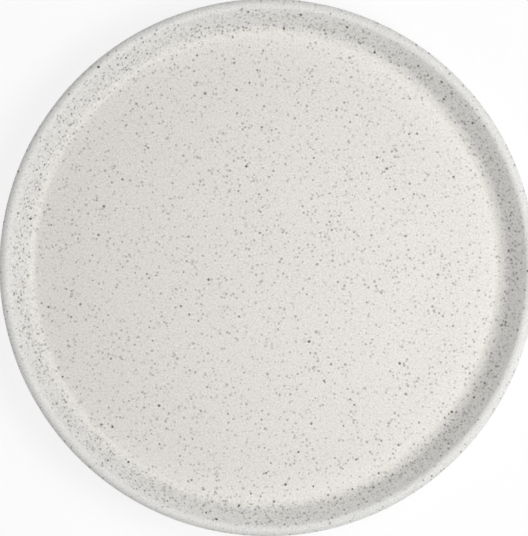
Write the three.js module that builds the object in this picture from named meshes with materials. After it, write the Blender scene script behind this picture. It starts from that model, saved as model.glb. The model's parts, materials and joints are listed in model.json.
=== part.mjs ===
// A round stoneware side plate: flat floor, low wall leaning outwards, full-round lip and a bare foot ring.
// The fired clay body is one piece, and four coats of glaze are fused to it, each a thin shell of its own.
// Millimetres, +Z up. The origin is the centre of the plane that the foot ring stands on.
import * as THREE from "three";

// The finished plate, measured over the glaze
const PLATE_DIAMETER = 175; // across the outside of the lip
const WELL_DEPTH = 13; // from the crest of the lip down to the floor
const FLOOR_THICKNESS = 5; // from the eating surface to the underside
const WALL_THICKNESS = 3.6; // the lip is a half round of this thickness
const WALL_SLOPE_DEG = 66; // of both faces of the wall, from the horizontal
const WELL_RADIUS = 5; // hollow round between the floor and the wall, inside
const HEEL_RADIUS = 9; // round between the wall and the underside, outside

// The foot ring, bare clay where it stands on the table
const UNDERSIDE_WIDTH = 13; // flat ring between the heel and the foot
const FOOT_WIDTH = 3.2; // of the flat standing face
const FOOT_SLOPE_DEG = 68; // of both flanks, from the horizontal
const FOOT_EDGE_RADIUS = 0.6; // round at each edge of the standing face
const FOOT_ROOT_RADIUS = 1; // hollow round between a flank and the underside
const FOOT_BARE_FLANK = 0.6; // length of each flank below the line that the glaze is wiped back to
const FOOT_GLAZED_FLANK = 0.9; // length of each flank above that line

// The coats of glaze
const GLAZE_THICKNESS = 0.4;
const LIP_BAND_INSIDE = 0.6; // how far the lip's coat reaches down the wall past the half round, inside
const LIP_BAND_OUTSIDE = 1.6; // the same, outside

// Fineness of the facets
const TURN_SEGMENTS = 72; // around the plate
const ARC_STEP = THREE.MathUtils.degToRad(24); // largest step along a round of the section
const SAME_POINT = 1e-6; // distance under which two points of the section are one

// The section is drawn in points (radius, height), and its angles are counted from outwards to up.
const OUT = 0;
const UP = Math.PI / 2;
const DOWN = -Math.PI / 2;
const wallSlope = THREE.MathUtils.degToRad(WALL_SLOPE_DEG);
const footSlope = THREE.MathUtils.degToRad(FOOT_SLOPE_DEG);

// Heights above the table, up through the foot, the floor and the wall
const footEdgeTop = FOOT_EDGE_RADIUS * (1 - Math.cos(footSlope));
const glazeLineHeight = footEdgeTop + FOOT_BARE_FLANK * Math.sin(footSlope);
const flankTop = glazeLineHeight + FOOT_GLAZED_FLANK * Math.sin(footSlope);
const footRootHeight = flankTop - (FOOT_ROOT_RADIUS + GLAZE_THICKNESS) * Math.cos(footSlope);
const undersideHeight = footRootHeight + FOOT_ROOT_RADIUS;
const floorHeight = undersideHeight + FLOOR_THICKNESS;
const crestHeight = floorHeight + WELL_DEPTH;

// The wall stands on its middle line, which ends in the centre of the lip.
const lipRadius = WALL_THICKNESS / 2;
const lipCentre = new THREE.Vector2(PLATE_DIAMETER / 2 - lipRadius, crestHeight - lipRadius);
const upTheWall = direction(wallSlope);
const outOfTheWall = direction(wallSlope + DOWN);
const wellCentre = roundCentre(floorHeight + WELL_RADIUS, -lipRadius - WELL_RADIUS);
const heelCentre = roundCentre(undersideHeight + HEEL_RADIUS, lipRadius - HEEL_RADIUS);

function direction(angle) {
  return new THREE.Vector2(Math.cos(angle), Math.sin(angle));
}

// Centre of a round at the bottom of the wall, at a height and a distance out from the wall's middle line.
function roundCentre(height, outFromMiddle) {
  const rise = height - lipCentre.y;
  const run = (outFromMiddle - rise * outOfTheWall.y) / outOfTheWall.x;
  return new THREE.Vector2(lipCentre.x + run, height);
}

// A point on a straight face of the wall, at a distance down from the end of the lip's half round.
function onWall(outFromMiddle, down) {
  return lipCentre.clone().addScaledVector(outOfTheWall, outFromMiddle).addScaledVector(upTheWall, -down);
}

// Points along a round of the section, from one angle to another.
function arc(centre, radius, from, to) {
  const steps = Math.ceil(Math.abs(to - from) / ARC_STEP);
  const curve = new THREE.EllipseCurve(centre.x, centre.y, radius, radius, from, to, to < from);
  return curve.getPoints(steps);
}

// The foot ring's flanks, placed inwards from the heel: the outer flank, the standing face, the inner flank.
const clayRootRadius = FOOT_ROOT_RADIUS + GLAZE_THICKNESS;
const rootToGlazeLine = clayRootRadius * Math.sin(footSlope) + FOOT_GLAZED_FLANK * Math.cos(footSlope);
const glazeLineToStanding = FOOT_BARE_FLANK * Math.cos(footSlope) + FOOT_EDGE_RADIUS * Math.sin(footSlope);
const outerRootRadius = heelCentre.x - UNDERSIDE_WIDTH;
const standingRadius = outerRootRadius - rootToGlazeLine - glazeLineToStanding - FOOT_WIDTH / 2;
const outerFlank = footFlank(1);
const innerFlank = footFlank(-1);

// One flank: side is 1 on the outside of the foot ring and -1 on its inside.
function footFlank(side) {
  const mirrored = (angle) => (side > 0 ? angle : Math.PI - angle);
  const fromStandingFace = (run) => standingRadius + side * (FOOT_WIDTH / 2 + run);
  const edgeCentre = new THREE.Vector2(fromStandingFace(0), FOOT_EDGE_RADIUS);
  const glazeLine = new THREE.Vector2(fromStandingFace(glazeLineToStanding), glazeLineHeight);
  const rootRun = glazeLineToStanding + rootToGlazeLine;
  const rootCentre = new THREE.Vector2(fromStandingFace(rootRun), footRootHeight);
  const outOfFlank = direction(mirrored(DOWN + footSlope));

  // From the standing face round its edge, and from the underside round the root down to the glaze line
  const bareEdge = arc(edgeCentre, FOOT_EDGE_RADIUS, mirrored(DOWN), mirrored(DOWN + footSlope));
  const glazedLine = (depth) => [
    ...arc(rootCentre, FOOT_ROOT_RADIUS + depth, mirrored(UP), mirrored(UP + footSlope)),
    glazeLine.clone().addScaledVector(outOfFlank, GLAZE_THICKNESS - depth),
  ];
  return { bareEdge, glazedLine };
}

// The lines of the section, each at a depth under the glazed surface. They follow one another from the middle
// of the face over the lip to the middle of the underside.
function faceLine(depth) {
  return [
    new THREE.Vector2(0, floorHeight - depth),
    ...arc(wellCentre, WELL_RADIUS + depth, DOWN, DOWN + wallSlope),
    onWall(depth - lipRadius, LIP_BAND_INSIDE),
  ];
}

function lipLine(depth) {
  const radius = lipRadius - depth;
  return [
    onWall(-radius, LIP_BAND_INSIDE),
    ...arc(lipCentre, radius, UP + wallSlope, UP),
    ...arc(lipCentre, radius, UP, OUT),
    ...arc(lipCentre, radius, OUT, DOWN + wallSlope),
    onWall(radius, LIP_BAND_OUTSIDE),
  ];
}

function backLine(depth) {
  return [
    onWall(lipRadius - depth, LIP_BAND_OUTSIDE),
    ...arc(heelCentre, HEEL_RADIUS - depth, DOWN + wallSlope, DOWN),
    ...outerFlank.glazedLine(depth),
  ];
}

function bareFootLine() {
  return [...outerFlank.bareEdge.toReversed(), ...innerFlank.bareEdge];
}

function footWellLine(depth) {
  return [...innerFlank.glazedLine(depth).toReversed(), new THREE.Vector2(0, undersideHeight + depth)];
}

// A solid turned about Z. A section is listed clockwise, and the lathe needs it anticlockwise to face out.
function turned(section) {
  const isNew = (point, i) => i === 0 || point.distanceTo(section[i - 1]) > SAME_POINT;
  return new THREE.LatheGeometry(section.filter(isNew).reverse(), TURN_SEGMENTS).rotateX(UP);
}

// The fired clay, from its middle under the face glaze to its middle under the foot well's glaze
function clayBody() {
  return turned([
    ...faceLine(GLAZE_THICKNESS),
    ...lipLine(GLAZE_THICKNESS),
    ...backLine(GLAZE_THICKNESS),
    ...bareFootLine(),
    ...footWellLine(GLAZE_THICKNESS),
  ]);
}

// A coat of glaze: out along its surface, back along the clay under it, and closed where it started.
function coat(line) {
  const surface = line(0);
  return turned([...surface, ...line(GLAZE_THICKNESS).reverse(), surface[0]]);
}

const bareStoneware = new THREE.MeshStandardMaterial({ color: 0xcbb89c, roughness: 0.9, metalness: 0 });
const speckledGlaze = new THREE.MeshStandardMaterial({ color: 0xe2dfda, roughness: 0.4, metalness: 0 });
const paleGlaze = new THREE.MeshStandardMaterial({ color: 0xe5e4e3, roughness: 0.35, metalness: 0 });

const plate = new THREE.Group();

function add(name, geometry, material) {
  const mesh = new THREE.Mesh(geometry, material);
  mesh.name = name;
  plate.add(mesh);
}

add("stoneware_body", clayBody(), bareStoneware);
add("face_glaze", coat(faceLine), speckledGlaze);
add("lip_glaze", coat(lipLine), paleGlaze);
add("back_glaze", coat(backLine), speckledGlaze);
add("foot_well_glaze", coat(footWellLine), speckledGlaze);

export default plate;
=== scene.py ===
"""A stoneware side plate in a speckled satin glaze: a turned clay body under four coats of glaze.

Every piece is drawn as a section in the XZ half plane and spun about Z.
Sizes are in metres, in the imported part's frame.
"""

import json
import math

import bmesh
import bpy
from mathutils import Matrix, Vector, noise


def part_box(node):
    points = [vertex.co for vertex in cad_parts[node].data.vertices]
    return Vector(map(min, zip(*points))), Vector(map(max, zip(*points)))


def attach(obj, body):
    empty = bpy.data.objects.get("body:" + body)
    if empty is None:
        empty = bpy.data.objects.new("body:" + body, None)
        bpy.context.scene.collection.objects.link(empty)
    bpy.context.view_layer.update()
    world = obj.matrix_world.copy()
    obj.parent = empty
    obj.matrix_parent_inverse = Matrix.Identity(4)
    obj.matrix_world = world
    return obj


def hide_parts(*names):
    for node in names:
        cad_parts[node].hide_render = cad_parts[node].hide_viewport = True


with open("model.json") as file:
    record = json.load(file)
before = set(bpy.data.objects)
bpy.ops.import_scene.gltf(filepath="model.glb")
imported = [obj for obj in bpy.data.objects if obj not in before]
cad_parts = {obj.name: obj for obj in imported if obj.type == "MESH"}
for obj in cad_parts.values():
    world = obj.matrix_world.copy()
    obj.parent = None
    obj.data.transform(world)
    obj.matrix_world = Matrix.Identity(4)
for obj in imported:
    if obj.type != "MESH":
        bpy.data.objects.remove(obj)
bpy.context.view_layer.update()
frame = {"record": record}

bl_info = {
    "name": "Speckled Side Plate",
    "version": (1, 0, 0),
    "blender": (4, 5, 0),
    "location": "View3D > Sidebar > Side Plate",
    "description": "Builds a stoneware side plate in a speckled satin glaze, on a white table",
    "category": "Add Mesh",
}

BODY = "root"

# Heights and radii that the frame gives
MOUNTS = {mount["name"]: Vector(mount["pos_m"]) for mount in frame["record"]["mounts"]}
LIP_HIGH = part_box("lip_glaze")[1]
CLAY_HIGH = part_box("stoneware_body")[1]
GLAZE_THICKNESS = LIP_HIGH.x - CLAY_HIGH.x
UNDERSIDE_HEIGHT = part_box("foot_well_glaze")[1].z - GLAZE_THICKNESS

# Angles of the section run from outwards to up, and a positive turn is anticlockwise.
UP = math.pi / 2
DOWN = -math.pi / 2
TURN_AXIS = (0.0, -1.0, 0.0)
PLATE_AXIS = (0.0, 0.0, 1.0)
FULL_TURN = 2 * math.pi

# Fineness of the meshes
TURN_STEPS = 240
ROUND_STEP = math.radians(5)
FLOOR_RINGS = 24
WALL_RINGS = 8
UNDERSIDE_RINGS = 8
FLANK_RINGS = 6
FOOT_WELL_RINGS = 108
BEAD_SEGMENTS = 5
MERGE_DISTANCE = 1e-7
SHARP_ANGLE = math.radians(40)

# The photograph's frame and where the plate's lip lies in it, in pixels
PHOTO_WIDTH = 528
PHOTO_HEIGHT = 536
PLATE_CENTRE_X = 268.6
PLATE_CENTRE_Y = 267.5
PLATE_RADIUS_PX = 268.7


def length(name, description, default):
    return bpy.props.FloatProperty(
        name=name, description=description, default=default, min=0.0, unit="LENGTH", precision=5
    )


def angle(name, description, degrees):
    return bpy.props.FloatProperty(
        name=name, description=description, default=math.radians(degrees), subtype="ANGLE"
    )


def share(name, description, default):
    return bpy.props.FloatProperty(
        name=name, description=description, default=default, min=0.0, max=1.0, subtype="FACTOR"
    )


def colour(name, description, default):
    return bpy.props.FloatVectorProperty(
        name=name, description=description, default=default, min=0.0, max=1.0, subtype="COLOR"
    )


def power(name, description, default):
    return bpy.props.FloatProperty(
        name=name, description=description, default=default, min=0.0, subtype="POWER"
    )


class PlateShape(bpy.types.PropertyGroup):
    """Sizes of the finished plate, over the glaze."""

    radius: length("Radius", "From the axis to the outside of the lip", LIP_HIGH.x)
    crest_height: length("Crest", "From the table to the crest of the lip", LIP_HIGH.z)
    floor_height: length("Floor", "From the table to the eating surface", MOUNTS["serving_face"].z)
    underside_height: length("Underside", "From the table to the underside", UNDERSIDE_HEIGHT)
    wall_thickness: length("Wall", "Thickness of the wall and of its round lip", 0.0036)
    wall_slope: angle("Wall slope", "Of both faces of the wall, from the horizontal", 66)
    well_radius: length("Well round", "Hollow round between the floor and the wall", 0.005)
    heel_radius: length("Heel round", "Round between the wall and the underside", 0.009)
    lip_band_inside: length("Lip band inside", "Down the wall from the lip's half round", 0.0006)
    lip_band_outside: length("Lip band outside", "Down the wall from the lip's half round", 0.0016)
    glaze_thickness: length("Glaze", "Thickness of every coat of glaze", GLAZE_THICKNESS)


class FootShape(bpy.types.PropertyGroup):
    """Sizes of the foot ring, which is bare clay below the glaze line."""

    standing_radius: length("Standing radius", "To the middle of the standing face", MOUNTS["foot_face"].x)
    width: length("Width", "Of the flat standing face", 0.0032)
    slope: angle("Slope", "Of both flanks, from the horizontal", 68)
    edge_radius: length("Edge round", "At each edge of the standing face", 0.0006)
    root_radius: length("Root round", "Between a flank and the underside", 0.001)
    bare_flank: length("Bare flank", "Length of each flank below the glaze line", 0.0006)
    glazed_flank: length("Glazed flank", "Length of each flank above the glaze line", 0.0009)
    bead_radius: length("Bead", "Round at the edge of the glaze", 0.00032)
    stray: length("Stray", "How far the wiped edge of the glaze strays", 0.0002)
    ring_depth: length("Turning rings", "Depth of the turning rings inside the foot", 0.00006)
    ring_pitch: length("Ring pitch", "From one turning ring to the next", 0.0031)


class GlazeLook(bpy.types.PropertyGroup):
    """Colours and specks of the satin glaze."""

    body: colour("Glaze", "Off-white of the glaze", (0.764, 0.740, 0.701))
    thin: colour("Thin glaze", "Where it thins up the wall and over the lip", (0.755, 0.748, 0.728))
    speck: colour("Specks", "Iron specks in the glaze", (0.075, 0.068, 0.052))
    roughness: share("Roughness", "Of the satin surface", 0.5)
    lip_roughness: share("Lip roughness", "Where the glaze thins over the lip", 0.6)
    faint_spacing: length("Faint spacing", "Between the faint specks that lie deep in the glaze", 0.0009)
    faint_radius: length("Faint radius", "Largest radius of the faint specks", 0.00083)
    dark_spacing: length("Dark spacing", "Between the specks that come to the surface", 0.003)
    dark_radius: length("Dark radius", "Largest radius of the dark specks", 0.00066)
    floor_share: share("Floor share", "Share of the faint specks that shows on level ground", 0.33)
    wall_share: share("Wall share", "Share of the faint specks that shows on the steep wall", 0.96)


class ClayLook(bpy.types.PropertyGroup):
    """Colours of the bare stoneware."""

    body: colour("Clay", "Bare fired stoneware", (0.56, 0.44, 0.30))
    toasted: colour("Toasted clay", "Next to the glaze line", (0.40, 0.24, 0.12))
    grog: colour("Grog", "Dark grains in the clay", (0.16, 0.11, 0.07))
    roughness: share("Roughness", "Of the sanded clay", 0.85)


class StageLook(bpy.types.PropertyGroup):
    """The table, the light and the camera above them."""

    table: colour("Table", "Colour of the table, which throws light back up at the plate", (0.8, 0.8, 0.8))
    table_shade: share("Table shade", "Share of the light on the table, and of its shadow, that shows", 0.2)
    table_glow: share("Table glow", "White that shows on the table beside that share", 0.84)
    horizon: share("Horizon", "Strength of the even light from low down all round", 0.74)
    key_power: power("Key", "Power of the soft light high on the right", 2.4)
    key_height: angle("Key height", "Of the soft light above the table", 65)
    key_bearing: angle("Key bearing", "Of the soft light, from the right towards the back", -8)
    key_distance: length("Key distance", "From the plate to the soft light", 0.55)
    key_size: length("Key size", "Across the soft light", 0.33)
    fill_power: power("Fill", "Power of the soft light from the left", 0.97)
    fill_height: angle("Fill height", "Of the left light above the table", 35)
    fill_bearing: angle("Fill bearing", "Of the left light, from the right towards the back", 180)
    fill_distance: length("Fill distance", "From the plate to the left light", 1.0)
    fill_size: length("Fill size", "Across the left light", 0.5)
    camera_distance: length("Camera distance", "From the middle of the lip to the camera", 1.35)
    camera_lean: angle("Camera lean", "Of the view, from straight down towards the left", 3)


class Pen:
    """Draws a chain of edges in the section, as straight runs and rounds."""

    def __init__(self, mesh):
        self.mesh = mesh
        self.first = None
        self.tip = None

    def go(self, radius, height, steps=1):
        """A straight run to a point, or the chain's first point."""
        end = Vector((radius, 0.0, height))
        if self.tip is None:
            self.first = self.tip = self.mesh.verts.new(end)
            return
        start = self.tip.co.copy()
        for step in range(1, steps + 1):
            self.tip = bmesh.ops.extrude_vert_indiv(self.mesh, verts=[self.tip])["verts"][0]
            self.tip.co = start.lerp(end, step / steps)

    def turn(self, centre, turn):
        """A round about a centre."""
        steps = math.ceil(abs(turn) / ROUND_STEP)
        spun = bmesh.ops.spin(
            self.mesh, geom=[self.tip], cent=centre, axis=TURN_AXIS, angle=turn, steps=steps
        )
        self.tip = next(part for part in spun["geom_last"] if isinstance(part, bmesh.types.BMVert))


def direction(turn):
    return Vector((math.cos(turn), 0.0, math.sin(turn)))


class Profile:
    """The plate's section, whose lines lie at a depth under the glazed surface.

    The lines follow one another from the middle of the face over the lip to the middle of the underside.
    """

    def __init__(self, scene):
        self.shape = shape = scene.plate_shape
        self.foot = foot = scene.plate_foot
        self.up_wall = direction(shape.wall_slope)
        self.out_of_wall = direction(shape.wall_slope + DOWN)
        self.lip_radius = shape.wall_thickness / 2
        self.lip_centre = Vector((shape.radius - self.lip_radius, 0.0, shape.crest_height - self.lip_radius))
        self.well_centre = self.round_centre(
            shape.floor_height + shape.well_radius, -self.lip_radius - shape.well_radius
        )
        self.heel_centre = self.round_centre(
            shape.underside_height + shape.heel_radius, self.lip_radius - shape.heel_radius
        )
        self.up_flank = direction(foot.slope)
        self.out_of_flank = direction(foot.slope + DOWN)

    def round_centre(self, height, out_from_middle):
        """Centre of a round at the bottom of the wall, out from the wall's middle line."""
        rise = height - self.lip_centre.z
        run = (out_from_middle - rise * self.out_of_wall.z) / self.out_of_wall.x
        return Vector((self.lip_centre.x + run, 0.0, height))

    def on_wall(self, out_from_middle, down):
        """A point on a straight face of the wall, down from the end of the lip's half round."""
        spot = self.lip_centre + self.out_of_wall * out_from_middle - self.up_wall * down
        return spot.x, spot.z

    def on_flank(self, side, up, out):
        """A point by the foot's flank, up it from the end of its edge round and out of its clay.

        The side is 1 on the outside of the foot ring and -1 on its inside.
        """
        spot = self.out_of_flank * (self.foot.edge_radius + out) + self.up_flank * up
        radius = self.foot.standing_radius + side * (self.foot.width / 2 + spot.x)
        return radius, self.foot.edge_radius + spot.z

    def root_centre(self, side):
        """Centre of the hollow round between a flank and the underside."""
        flank = self.foot.bare_flank + self.foot.glazed_flank
        radius, height = self.on_flank(side, flank, self.foot.root_radius + self.shape.glaze_thickness)
        return Vector((radius, 0.0, height))

    def face_line(self, pen, depth):
        shape = self.shape
        pen.go(0.0, shape.floor_height - depth)
        pen.go(self.well_centre.x, shape.floor_height - depth, FLOOR_RINGS)
        pen.turn(self.well_centre, shape.wall_slope)
        pen.go(*self.on_wall(depth - self.lip_radius, shape.lip_band_inside), WALL_RINGS)

    def lip_line(self, pen, depth):
        radius = self.lip_radius - depth
        pen.go(*self.on_wall(-radius, self.shape.lip_band_inside))
        pen.go(*self.on_wall(-radius, 0.0))
        pen.turn(self.lip_centre, -math.pi)
        pen.go(*self.on_wall(radius, self.shape.lip_band_outside))

    def back_line(self, pen, depth):
        shape = self.shape
        root = self.root_centre(1)
        heel_start = self.heel_centre + self.out_of_wall * (shape.heel_radius - depth)
        pen.go(*self.on_wall(self.lip_radius - depth, shape.lip_band_outside))
        pen.go(heel_start.x, heel_start.z, WALL_RINGS)
        pen.turn(self.heel_centre, -shape.wall_slope)
        pen.go(root.x, shape.underside_height + depth, UNDERSIDE_RINGS)
        pen.turn(root, self.foot.slope)
        pen.go(*self.on_flank(1, self.foot.bare_flank, shape.glaze_thickness - depth), FLANK_RINGS)

    def bare_foot_line(self, pen):
        foot = self.foot
        edges = [
            Vector((foot.standing_radius + side * foot.width / 2, 0.0, foot.edge_radius)) for side in (1, -1)
        ]
        pen.go(*self.on_flank(1, 0.0, 0.0), FLANK_RINGS)
        pen.turn(edges[0], -foot.slope)
        pen.go(edges[1].x, 0.0, FLANK_RINGS)
        pen.turn(edges[1], -foot.slope)

    def foot_well_line(self, pen, depth):
        foot = self.foot
        root = self.root_centre(-1)
        stand_off = self.shape.glaze_thickness - depth
        pen.go(*self.on_flank(-1, foot.bare_flank, stand_off))
        pen.go(*self.on_flank(-1, foot.bare_flank + foot.glazed_flank, stand_off), FLANK_RINGS)
        pen.turn(root, foot.slope)
        for ring in range(FOOT_WELL_RINGS - 1, -1, -1):
            radius = root.x * ring / FOOT_WELL_RINGS
            groove = 1 - math.cos(FULL_TURN * (root.x - radius) / foot.ring_pitch)
            pen.go(radius, self.shape.underside_height + depth + groove * foot.ring_depth / 2)


def coat_section(line, thickness):
    """The closed section of a coat: its surface and the clay under it, joined at both ends."""
    mesh = bmesh.new()
    surface = Pen(mesh)
    under = Pen(mesh)
    line(surface, 0.0)
    line(under, thickness)
    for top, bottom in ((surface.first, under.first), (surface.tip, under.tip)):
        if top.co.x > MERGE_DISTANCE:
            mesh.edges.new((top, bottom))
    return mesh, surface


def round_off(mesh, corner, radius):
    """Rounds a corner of a section."""
    bmesh.ops.bevel(
        mesh,
        geom=[corner],
        affect="VERTICES",
        offset=radius,
        segments=BEAD_SEGMENTS,
        profile=0.5,
        material=-1,
    )


def spin_section(mesh):
    """Turns a section about the plate's axis, and closes the seam and the poles."""
    bmesh.ops.remove_doubles(mesh, verts=mesh.verts, dist=MERGE_DISTANCE)
    bmesh.ops.spin(
        mesh,
        geom=mesh.verts[:] + mesh.edges[:],
        cent=(0.0, 0.0, 0.0),
        axis=PLATE_AXIS,
        angle=FULL_TURN,
        steps=TURN_STEPS,
        use_merge=True,
    )
    bmesh.ops.remove_doubles(mesh, verts=mesh.verts, dist=MERGE_DISTANCE)
    bmesh.ops.recalc_face_normals(mesh, faces=mesh.faces)


# The waves of the wiped edge, and the finer ones on them
STRAY_WAVES = 7.0
STRAY_ROUGHNESS = 0.8
STRAY_LACUNARITY = 2.0
STRAY_OCTAVES = 4


def stray_edge(mesh, profile, side):
    """Lets the wiped edge of a coat stray up and down the foot's flank."""
    foot = profile.foot
    low = profile.on_flank(side, foot.bare_flank, profile.shape.glaze_thickness)[1]
    high = profile.on_flank(side, foot.bare_flank + foot.glazed_flank, 0.0)[1]
    for vert in mesh.verts:
        if vert.co.z < high:
            weight = min(1.0, (high - vert.co.z) / (high - low))
            bearing = Vector((vert.co.x, vert.co.y, 0.0)).normalized()
            waves = noise.fractal(
                bearing * STRAY_WAVES * side, STRAY_ROUGHNESS, STRAY_LACUNARITY, STRAY_OCTAVES
            )
            up_flank = bearing * side * profile.up_flank.x + Vector(PLATE_AXIS) * profile.up_flank.z
            vert.co += up_flank * foot.stray * weight * waves


def piece_from(mesh, name, node, material):
    """Makes a finished mesh the piece that stands for a node of the frame."""
    for face in mesh.faces:
        face.smooth = True
    for edge in mesh.edges:
        edge.smooth = edge.calc_face_angle(0.0) < SHARP_ANGLE
    if any(not edge.is_manifold for edge in mesh.edges):
        raise RuntimeError(f"{name} isn't closed")
    data = bpy.data.meshes.new(name)
    mesh.to_mesh(data)
    mesh.free()
    data.materials.append(material)
    piece = bpy.data.objects.new(name, data)
    bpy.context.scene.collection.objects.link(piece)
    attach(piece, BODY)
    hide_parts(node)


def feed(tree, socket, value):
    """Links a socket to another one, or sets its own value."""
    if isinstance(value, bpy.types.NodeSocket):
        tree.links.new(value, socket)
    else:
        socket.default_value = value


def add_node(tree, kind, inputs=None, **settings):
    made = tree.nodes.new(kind)
    for name, value in settings.items():
        setattr(made, name, value)
    for key, value in (inputs or {}).items():
        feed(tree, made.inputs[key], value)
    return made


def calc(tree, operation, *values):
    return add_node(tree, "ShaderNodeMath", dict(enumerate(values)), operation=operation).outputs[0]


def vector_calc(tree, operation, first, second):
    """A vector from another one and a vector, or a scale, as the operation asks."""
    second_socket = "Scale" if operation == "SCALE" else 1
    inputs = {0: first, second_socket: second}
    return add_node(tree, "ShaderNodeVectorMath", inputs, operation=operation).outputs["Vector"]


def eased(tree, value, start, end, first=0.0, last=1.0):
    """A value that runs smoothly from first to last while another goes from start to end."""
    inputs = {"Value": value, "From Min": start, "From Max": end, "To Min": first, "To Max": last}
    return add_node(tree, "ShaderNodeMapRange", inputs, interpolation_type="SMOOTHSTEP").outputs["Result"]


def blend(tree, factor, first, second, blend_type="MIX"):
    """A colour between two others."""
    mix = tree.nodes.new("ShaderNodeMix")
    mix.data_type = "RGBA"
    mix.blend_type = blend_type
    inputs = {socket.identifier: socket for socket in mix.inputs}
    feed(tree, inputs["Factor_Float"], factor)
    feed(tree, inputs["A_Color"], first)
    feed(tree, inputs["B_Color"], second)
    return next(socket for socket in mix.outputs if socket.identifier == "Result_Color")


def cloud(tree, position, size):
    """Even noise from 0 to 1 in patches of a size."""
    return add_node(tree, "ShaderNodeTexNoise", {"Vector": position, "Scale": 1.0 / size}).outputs["Fac"]


def uneven(tree, position, size, spread, middle):
    """A value that strays from its middle in patches of a size."""
    return calc(tree, "MULTIPLY_ADD", cloud(tree, position, size), spread, middle - spread / 2)


def opaque(rgb):
    return (*rgb, 1.0)


FLOAT = "NodeSocketFloat"
VECTOR = "NodeSocketVector"


def shader_group(name, inputs, outputs):
    """A new node group with its named sockets, as seen from inside it."""
    tree = bpy.data.node_groups.new(name, "ShaderNodeTree")
    for socket, kind in inputs.items():
        tree.interface.new_socket(socket, in_out="INPUT", socket_type=kind)
    for socket, kind in outputs.items():
        tree.interface.new_socket(socket, in_out="OUTPUT", socket_type=kind)
    given = tree.nodes.new("NodeGroupInput").outputs
    made = tree.nodes.new("NodeGroupOutput").inputs
    return tree, given, made


def group_of(name, build):
    """The node group of that name, built where it is first needed."""
    return bpy.data.node_groups.get(name) or build(name)


def place(tree, group, inputs):
    """Puts a node group into a tree with its own values."""
    return add_node(tree, "ShaderNodeGroup", inputs, node_tree=group).outputs


# Ragged outlines of the specks: the size of the notches, and how far they push the outline
SPECK_RAGGED_SIZE = 0.0007
SPECK_RAGGED_REACH = 0.0004
NOISE_MIDDLE = (0.5, 0.5, 0.5)


def build_iron_specks(name):
    """Grains of iron scattered through the glaze, one to a cell, that bleed into it from a small core."""
    sockets = dict.fromkeys(("Spacing", "Largest", "Least", "Core", "Share", "Faintest", "Darkest"), FLOAT)
    tree, given, made = shader_group(name, {"Position": VECTOR, **sockets}, {"Mask": FLOAT})
    ragged_noise = {"Vector": given["Position"], "Scale": 1.0 / SPECK_RAGGED_SIZE}
    ragged = add_node(tree, "ShaderNodeTexNoise", ragged_noise).outputs["Color"]
    either_way = vector_calc(tree, "SUBTRACT", ragged, NOISE_MIDDLE)
    pushed = vector_calc(tree, "SCALE", either_way, SPECK_RAGGED_REACH)
    per_cell = calc(tree, "DIVIDE", 1.0, given["Spacing"])
    in_cells = vector_calc(tree, "SCALE", vector_calc(tree, "ADD", given["Position"], pushed), per_cell)
    cell = add_node(tree, "ShaderNodeTexVoronoi", {"Vector": in_cells, "Scale": 1.0}).outputs
    # A cell's own colour holds the place of its grain, so its chances are drawn anew from it.
    drawn = add_node(tree, "ShaderNodeTexWhiteNoise", {"Vector": cell["Color"]}).outputs["Color"]
    chance = add_node(tree, "ShaderNodeSeparateColor", {"Color": drawn}).outputs
    size_range = calc(tree, "SUBTRACT", 1.0, given["Least"])
    size = calc(tree, "MULTIPLY_ADD", chance["Red"], size_range, given["Least"])
    radius = calc(tree, "MULTIPLY", calc(tree, "MULTIPLY", given["Largest"], per_cell), size)
    core = calc(tree, "MULTIPLY", radius, given["Core"])
    grain = eased(tree, cell["Distance"], core, radius, 1.0, 0.0)
    held = calc(tree, "LESS_THAN", chance["Green"], given["Share"])
    depth = calc(tree, "SUBTRACT", given["Darkest"], given["Faintest"])
    tone = calc(tree, "MULTIPLY_ADD", chance["Blue"], depth, given["Faintest"])
    feed(tree, made["Mask"], calc(tree, "MULTIPLY", calc(tree, "MULTIPLY", grain, held), tone))
    return tree


def build_climb(name):
    """How far a spot has climbed from one height to another: 0 below the start and 1 above the end."""
    sockets = {"Position": VECTOR, "Start": FLOAT, "End": FLOAT}
    tree, given, made = shader_group(name, sockets, {"Climb": FLOAT})
    height = add_node(tree, "ShaderNodeSeparateXYZ", {"Vector": given["Position"]}).outputs["Z"]
    feed(tree, made["Climb"], eased(tree, height, given["Start"], given["End"]))
    return tree


# Upright part of the surface's normal where the ground ends and where the wall begins
LEVEL_FACING = 0.98
STEEP_FACING = 0.7


def build_steepness(name):
    """How steep the surface is: 0 on level ground and 1 on the wall."""
    tree, given, made = shader_group(name, {"Normal": VECTOR}, {"Steep": FLOAT})
    upright = add_node(tree, "ShaderNodeSeparateXYZ", {"Vector": given["Normal"]}).outputs["Z"]
    level = calc(tree, "ABSOLUTE", upright)
    feed(tree, made["Steep"], eased(tree, level, LEVEL_FACING, STEEP_FACING))
    return tree


def object_position(tree):
    return add_node(tree, "ShaderNodeTexCoord").outputs["Object"]


def object_normal(tree):
    return add_node(tree, "ShaderNodeTexCoord").outputs["Normal"]


def surface_material(name):
    """A new material with its tree, its Principled shader and the position on the piece."""
    material = bpy.data.materials.new(name)
    material.use_nodes = True
    tree = material.node_tree
    return material, tree, tree.nodes["Principled BSDF"], object_position(tree)


def emboss(tree, shader, height):
    """Raises a surface by a height in metres."""
    bump = add_node(tree, "ShaderNodeBump", {"Height": height, "Distance": 1.0})
    feed(tree, shader.inputs["Normal"], bump.outputs["Normal"])


def climb(tree, position, start, end):
    inputs = {"Position": position, "Start": start, "End": end}
    return place(tree, group_of("climb", build_climb), inputs)["Climb"]


def iron_specks(tree, position, spacing, largest, shown, kind):
    """The mask of one kind of specks, of which a share is shown."""
    inputs = {"Position": position, "Spacing": spacing, "Largest": largest, "Share": shown, **kind}
    return place(tree, group_of("iron_specks", build_iron_specks), inputs)["Mask"]


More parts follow.
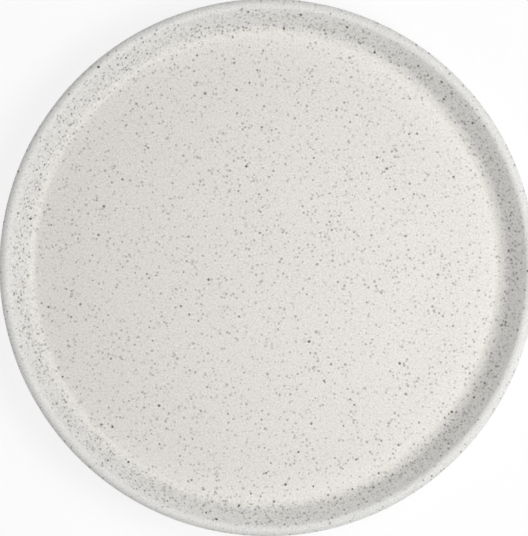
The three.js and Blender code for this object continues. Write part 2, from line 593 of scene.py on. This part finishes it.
# Each kind of specks: the least size and the core as shares of the full size, and the range of its tones
FAINT_SPECKS = {"Least": 0.28, "Core": 0.1, "Faintest": 0.08, "Darkest": 0.65}
DARK_SPECKS = {"Least": 0.45, "Core": 0.4, "Faintest": 0.5, "Darkest": 1.0}
# The share of the dark specks that shows, as a multiple of the faint ones' share
DARK_SPECKS_KEPT = 2.0
# How much more strongly the specks show on the wall
WALL_DARKER = 0.2
# The share of specks that the lip loses, and how many wall thicknesses below its crest that starts
LIP_SPECKS_LOST = 0.72
LIP_BARE_REACH = 1.8


def glaze_specks(tree, scene, position, drooped):
    """The specks in the glaze: more of them on the steep wall than on level ground, and few on the lip."""
    look = scene.plate_glaze
    shape = scene.plate_shape
    steepness = place(tree, group_of("steepness", build_steepness), {"Normal": object_normal(tree)})["Steep"]
    above_foot = climb(tree, position, shape.underside_height, shape.floor_height)
    steep = calc(tree, "MULTIPLY", steepness, above_foot)
    shown = calc(tree, "MULTIPLY_ADD", steep, look.wall_share - look.floor_share, look.floor_share)
    bare_start = shape.crest_height - shape.wall_thickness * LIP_BARE_REACH
    bare_lip = climb(tree, position, bare_start, shape.crest_height)
    kept = calc(tree, "MULTIPLY", shown, calc(tree, "MULTIPLY_ADD", bare_lip, -LIP_SPECKS_LOST, 1.0))
    dark_kept = calc(tree, "MULTIPLY", kept, DARK_SPECKS_KEPT)
    faint = iron_specks(tree, drooped, look.faint_spacing, look.faint_radius, kept, FAINT_SPECKS)
    dark = iron_specks(tree, drooped, look.dark_spacing, look.dark_radius, dark_kept, DARK_SPECKS)
    deeper = calc(tree, "MULTIPLY_ADD", steep, WALL_DARKER, 1.0)
    return calc(tree, "MINIMUM", calc(tree, "MULTIPLY", calc(tree, "MAXIMUM", faint, dark), deeper), 1.0)


# Specks and grain run down the wall as the glaze melts, so heights count for less in their pattern.
SPECK_DROOP = 0.42
# Sizes and strengths of the slow clouds and the fine grain in the glaze's tone
CLOUD_SIZE = 0.03
CLOUD_SHADE = 0.03
GRAIN_SIZE = 0.0006
GRAIN_SHADE = 0.65
# The satin surface: patches of gloss, rougher specks, and heights of its ripple and of a speck
GLOSS_PATCH = 0.012
GLOSS_SPREAD = 0.1
SPECK_ROUGHER = 0.15
RIPPLE_SIZE = 0.0016
RIPPLE_DEPTH = 0.000006
SPECK_DEPTH = 0.00001


def glaze_material(name, scene, roughness):
    """Satin off-white glaze with iron specks, which thins and pales up the wall and over the lip."""
    look = scene.plate_glaze
    shape = scene.plate_shape
    material, tree, shader, position = surface_material(name)
    drooped = vector_calc(tree, "MULTIPLY", position, (1.0, 1.0, SPECK_DROOP))
    specks = glaze_specks(tree, scene, position, drooped)
    thin = climb(tree, position, shape.floor_height, shape.floor_height + shape.well_radius / 2)
    tone = blend(tree, thin, opaque(look.body), opaque(look.thin))
    clouds = uneven(tree, position, CLOUD_SIZE, CLOUD_SHADE, 1.0)
    grain = uneven(tree, drooped, GRAIN_SIZE, GRAIN_SHADE, 0.0)
    mottled = blend(tree, 1.0, tone, calc(tree, "ADD", clouds, grain), "MULTIPLY")
    feed(tree, shader.inputs["Base Color"], blend(tree, specks, mottled, opaque(look.speck)))
    gloss = uneven(tree, position, GLOSS_PATCH, GLOSS_SPREAD, roughness)
    feed(tree, shader.inputs["Roughness"], calc(tree, "MULTIPLY_ADD", specks, SPECK_ROUGHER, gloss))
    ripple = calc(tree, "MULTIPLY", cloud(tree, position, RIPPLE_SIZE), RIPPLE_DEPTH)
    emboss(tree, shader, calc(tree, "MULTIPLY_ADD", specks, SPECK_DEPTH, ripple))
    return material


# Dark grains of grog in the clay, its sandy surface and the patches in its tone
GROG_SPACING = 0.0012
GROG_RADIUS = 0.00035
GROG_SHARE = 0.6
GROG_GRAINS = {"Least": 0.3, "Core": 0.3, "Faintest": 0.3, "Darkest": 1.0}
SAND_SIZE = 0.00025
SAND_DEPTH = 0.00002
CLAY_PATCH = 0.006
CLAY_SHADE = 0.16


def clay_material(name, scene):
    """Bare buff stoneware, grained with grog and toasted next to the glaze line."""
    look = scene.plate_clay
    foot = scene.plate_foot
    material, tree, shader, position = surface_material(name)
    shader.inputs["Roughness"].default_value = look.roughness
    grog = iron_specks(tree, position, GROG_SPACING, GROG_RADIUS, GROG_SHARE, GROG_GRAINS)
    toasted = climb(tree, position, foot.edge_radius / 2, foot.edge_radius + foot.bare_flank)
    tone = blend(tree, toasted, opaque(look.body), opaque(look.toasted))
    mottled = blend(tree, 1.0, tone, uneven(tree, position, CLAY_PATCH, CLAY_SHADE, 1.0), "MULTIPLY")
    feed(tree, shader.inputs["Base Color"], blend(tree, grog, mottled, opaque(look.grog)))
    emboss(tree, shader, calc(tree, "MULTIPLY", cloud(tree, position, SAND_SIZE), SAND_DEPTH))
    return material


class PLATE_OT_clay_body(bpy.types.Operator):
    """Turns the fired clay body, which shows only on the foot ring"""

    bl_idname = "plate.clay_body"
    bl_label = "Clay Body"

    def execute(self, context):
        profile = Profile(context.scene)
        glaze = profile.shape.glaze_thickness
        mesh = bmesh.new()
        pen = Pen(mesh)
        profile.face_line(pen, glaze)
        profile.lip_line(pen, glaze)
        profile.back_line(pen, glaze)
        profile.bare_foot_line(pen)
        profile.foot_well_line(pen, glaze)
        spin_section(mesh)
        clay = clay_material("buff_clay", context.scene)
        piece_from(mesh, "clay_body", "stoneware_body", clay)
        return {"FINISHED"}


class PLATE_OT_upper_coats(bpy.types.Operator):
    """Lays the glaze on the face and over the lip"""

    bl_idname = "plate.upper_coats"
    bl_label = "Upper Coats"

    def execute(self, context):
        profile = Profile(context.scene)
        look = context.scene.plate_glaze
        satin = glaze_material("satin_glaze", context.scene, look.roughness)
        thinned = glaze_material("thinned_glaze", context.scene, look.lip_roughness)
        for name, node, line, glaze, slot in (
            ("face_coat", "face_glaze", profile.face_line, satin, "speckled_glaze"),
            ("lip_coat", "lip_glaze", profile.lip_line, thinned, "pale_glaze"),
        ):
            mesh = coat_section(line, profile.shape.glaze_thickness)[0]
            spin_section(mesh)
            piece_from(mesh, name, node, glaze)
        return {"FINISHED"}


class PLATE_OT_under_coats(bpy.types.Operator):
    """Lays the glaze on the back and inside the foot ring, wiped off the foot"""

    bl_idname = "plate.under_coats"
    bl_label = "Under Coats"

    def execute(self, context):
        profile = Profile(context.scene)
        glaze = bpy.data.materials["satin_glaze"]
        for name, node, line, side in (
            ("back_coat", "back_glaze", profile.back_line, 1),
            ("foot_well_coat", "foot_well_glaze", profile.foot_well_line, -1),
        ):
            mesh, surface = coat_section(line, profile.shape.glaze_thickness)
            round_off(mesh, surface.tip if side > 0 else surface.first, profile.foot.bead_radius)
            spin_section(mesh)
            stray_edge(mesh, profile, side)
            piece_from(mesh, name, node, glaze)
        return {"FINISHED"}


WHITE = (1.0, 1.0, 1.0, 1.0)
# The table, and how far it lies below the foot's standing face
TABLE_SIZE = 6.0
TABLE_CLEARANCE = 0.00005
# The table's glow: the share of the plate's radius where it starts, fading in towards the lip from a painted
# shadow under the plate, and where it grows to full white
PAINTED_SHADOW_FULL = 0.75
GLOW_NEAR = 0.2
GLOW_FAR = 0.9
# Sine of the height above the table up to which the even light is full, and where it ends
HORIZON_FULL = 0.35
HORIZON_END = 0.65
# Cameras are measured in millimetres.
SENSOR_WIDTH = 36.0


def seen_share(tree):
    """1 for the rays that show a surface itself, in the picture or in a reflection, and 0 for its light."""
    ray = add_node(tree, "ShaderNodeLightPath").outputs
    mirrored = calc(tree, "MAXIMUM", ray["Is Glossy Ray"], ray["Is Transmission Ray"])
    return calc(tree, "MAXIMUM", ray["Is Camera Ray"], mirrored)


def table_material(look, shape):
    """A white table that keeps a faint share of the plate's shadow, with a painted shadow under the plate
    where its white glow fades out.
    """
    material = bpy.data.materials.new("white_table")
    material.use_nodes = True
    tree = material.node_tree
    tree.nodes.clear()
    position = object_position(tree)
    reach = add_node(tree, "ShaderNodeVectorMath", {0: position}, operation="LENGTH").outputs["Value"]
    # Painted shadow: the white glow fades out under the plate, so the table darkens towards the plate's
    # middle.
    beside = eased(tree, reach, shape.radius * PAINTED_SHADOW_FULL, shape.radius)
    glow = calc(tree, "MULTIPLY", beside, eased(tree, reach, GLOW_NEAR, GLOW_FAR, look.table_glow, 1.0))
    seen = seen_share(tree)
    shaded = blend(tree, seen, opaque(look.table), opaque(Vector(look.table) * look.table_shade))
    lit = add_node(tree, "ShaderNodeBsdfDiffuse", {"Color": shaded})
    shown_glow_and_painted_shadow = calc(tree, "MULTIPLY", glow, seen)
    glow_with_painted_shadow = add_node(tree, "ShaderNodeEmission", {"Color": WHITE, "Strength": shown_glow_and_painted_shadow})
    both = add_node(tree, "ShaderNodeAddShader", {0: lit.outputs[0], 1: glow_with_painted_shadow.outputs[0]})
    add_node(tree, "ShaderNodeOutputMaterial", {"Surface": both.outputs[0]})
    return material


def add_table(look, shape):
    mesh = bmesh.new()
    bmesh.ops.create_grid(mesh, x_segments=1, y_segments=1, size=TABLE_SIZE / 2)
    bmesh.ops.translate(mesh, verts=mesh.verts, vec=(0.0, 0.0, -TABLE_CLEARANCE))
    data = bpy.data.meshes.new("table")
    mesh.to_mesh(data)
    mesh.free()
    data.materials.append(table_material(look, shape))
    table = bpy.data.objects.new("table", data)
    bpy.context.scene.collection.objects.link(table)


def light_the_world(look):
    """Even light from low down all round, in front of a white backdrop."""
    world = bpy.data.worlds.new("studio")
    bpy.context.scene.world = world
    world.use_nodes = True
    tree = world.node_tree
    tree.nodes.clear()
    toward = add_node(tree, "ShaderNodeTexCoord").outputs["Generated"]
    rise = add_node(tree, "ShaderNodeSeparateXYZ", {"Vector": toward}).outputs["Z"]
    strength = eased(tree, rise, HORIZON_FULL, HORIZON_END, look.horizon, 0.0)
    round_about = add_node(tree, "ShaderNodeBackground", {"Color": WHITE, "Strength": strength})
    backdrop = add_node(tree, "ShaderNodeBackground", {"Color": WHITE})
    either = {0: seen_share(tree), 1: round_about.outputs[0], 2: backdrop.outputs[0]}
    shown = add_node(tree, "ShaderNodeMixShader", either)
    add_node(tree, "ShaderNodeOutputWorld", {"Surface": shown.outputs[0]})


def add_softbox(name, strength, height, bearing, distance, size):
    """A square soft light that looks at the plate."""
    data = bpy.data.lights.new(name, "AREA")
    data.energy = strength
    data.size = size
    light = bpy.data.objects.new(name, data)
    level = math.cos(height)
    away = Vector((math.cos(bearing) * level, math.sin(bearing) * level, math.sin(height)))
    light.location = away * distance
    light.rotation_euler = away.to_track_quat("Z", "Y").to_euler()
    bpy.context.scene.collection.objects.link(light)


def add_camera(look, shape):
    """A camera almost straight above the plate, framed as in the photograph."""
    data = bpy.data.cameras.new("overhead")
    long_side = max(PHOTO_WIDTH, PHOTO_HEIGHT)
    data.sensor_width = SENSOR_WIDTH
    data.lens = SENSOR_WIDTH * PLATE_RADIUS_PX / long_side * look.camera_distance / shape.radius
    data.shift_x = (PHOTO_WIDTH / 2 - PLATE_CENTRE_X) / long_side
    data.shift_y = (PLATE_CENTRE_Y - PHOTO_HEIGHT / 2) / long_side
    camera = bpy.data.objects.new("overhead", data)
    lip_middle = Vector((0.0, 0.0, shape.crest_height - shape.wall_thickness / 2))
    camera.location = lip_middle + direction(UP + look.camera_lean) * look.camera_distance
    camera.rotation_euler.y = -look.camera_lean
    bpy.context.scene.collection.objects.link(camera)
    bpy.context.scene.camera = camera


class PLATE_OT_stage(bpy.types.Operator):
    """Sets the white table, the soft light and the overhead camera"""

    bl_idname = "plate.stage"
    bl_label = "Stage"

    def execute(self, context):
        look = context.scene.plate_stage
        shape = context.scene.plate_shape
        add_table(look, shape)
        light_the_world(look)
        add_softbox(
            "key", look.key_power, look.key_height, look.key_bearing, look.key_distance, look.key_size
        )
        add_softbox(
            "fill", look.fill_power, look.fill_height, look.fill_bearing, look.fill_distance, look.fill_size
        )
        add_camera(look, shape)
        context.scene.view_settings.view_transform = "Standard"
        return {"FINISHED"}


class PLATE_PT_sidebar(bpy.types.Panel):
    """Lists the plate's pieces and its stage"""

    bl_idname = "PLATE_PT_sidebar"
    bl_label = "Side Plate"
    bl_space_type = "VIEW_3D"
    bl_region_type = "UI"
    bl_category = "Side Plate"

    def draw(self, context):
        for operator in OPERATORS:
            self.layout.operator(operator.bl_idname)
        for name in SETTINGS:
            box = self.layout.box()
            settings = getattr(context.scene, name)
            for prop in settings.__annotations__:
                box.prop(settings, prop)


SETTINGS = {
    "plate_shape": PlateShape,
    "plate_foot": FootShape,
    "plate_glaze": GlazeLook,
    "plate_clay": ClayLook,
    "plate_stage": StageLook,
}
OPERATORS = (PLATE_OT_clay_body, PLATE_OT_upper_coats, PLATE_OT_under_coats, PLATE_OT_stage)


def register():
    for name, settings in SETTINGS.items():
        bpy.utils.register_class(settings)
        setattr(bpy.types.Scene, name, bpy.props.PointerProperty(type=settings))
    for operator in OPERATORS:
        bpy.utils.register_class(operator)
    bpy.utils.register_class(PLATE_PT_sidebar)


def unregister():
    bpy.utils.unregister_class(PLATE_PT_sidebar)
    for operator in reversed(OPERATORS):
        bpy.utils.unregister_class(operator)
    for name, settings in reversed(SETTINGS.items()):
        delattr(bpy.types.Scene, name)
        bpy.utils.unregister_class(settings)


def main():
    register()
    bpy.ops.plate.clay_body()
    bpy.ops.plate.upper_coats()
    bpy.ops.plate.under_coats()
    bpy.ops.plate.stage()


if __name__ == "__main__":
    main()
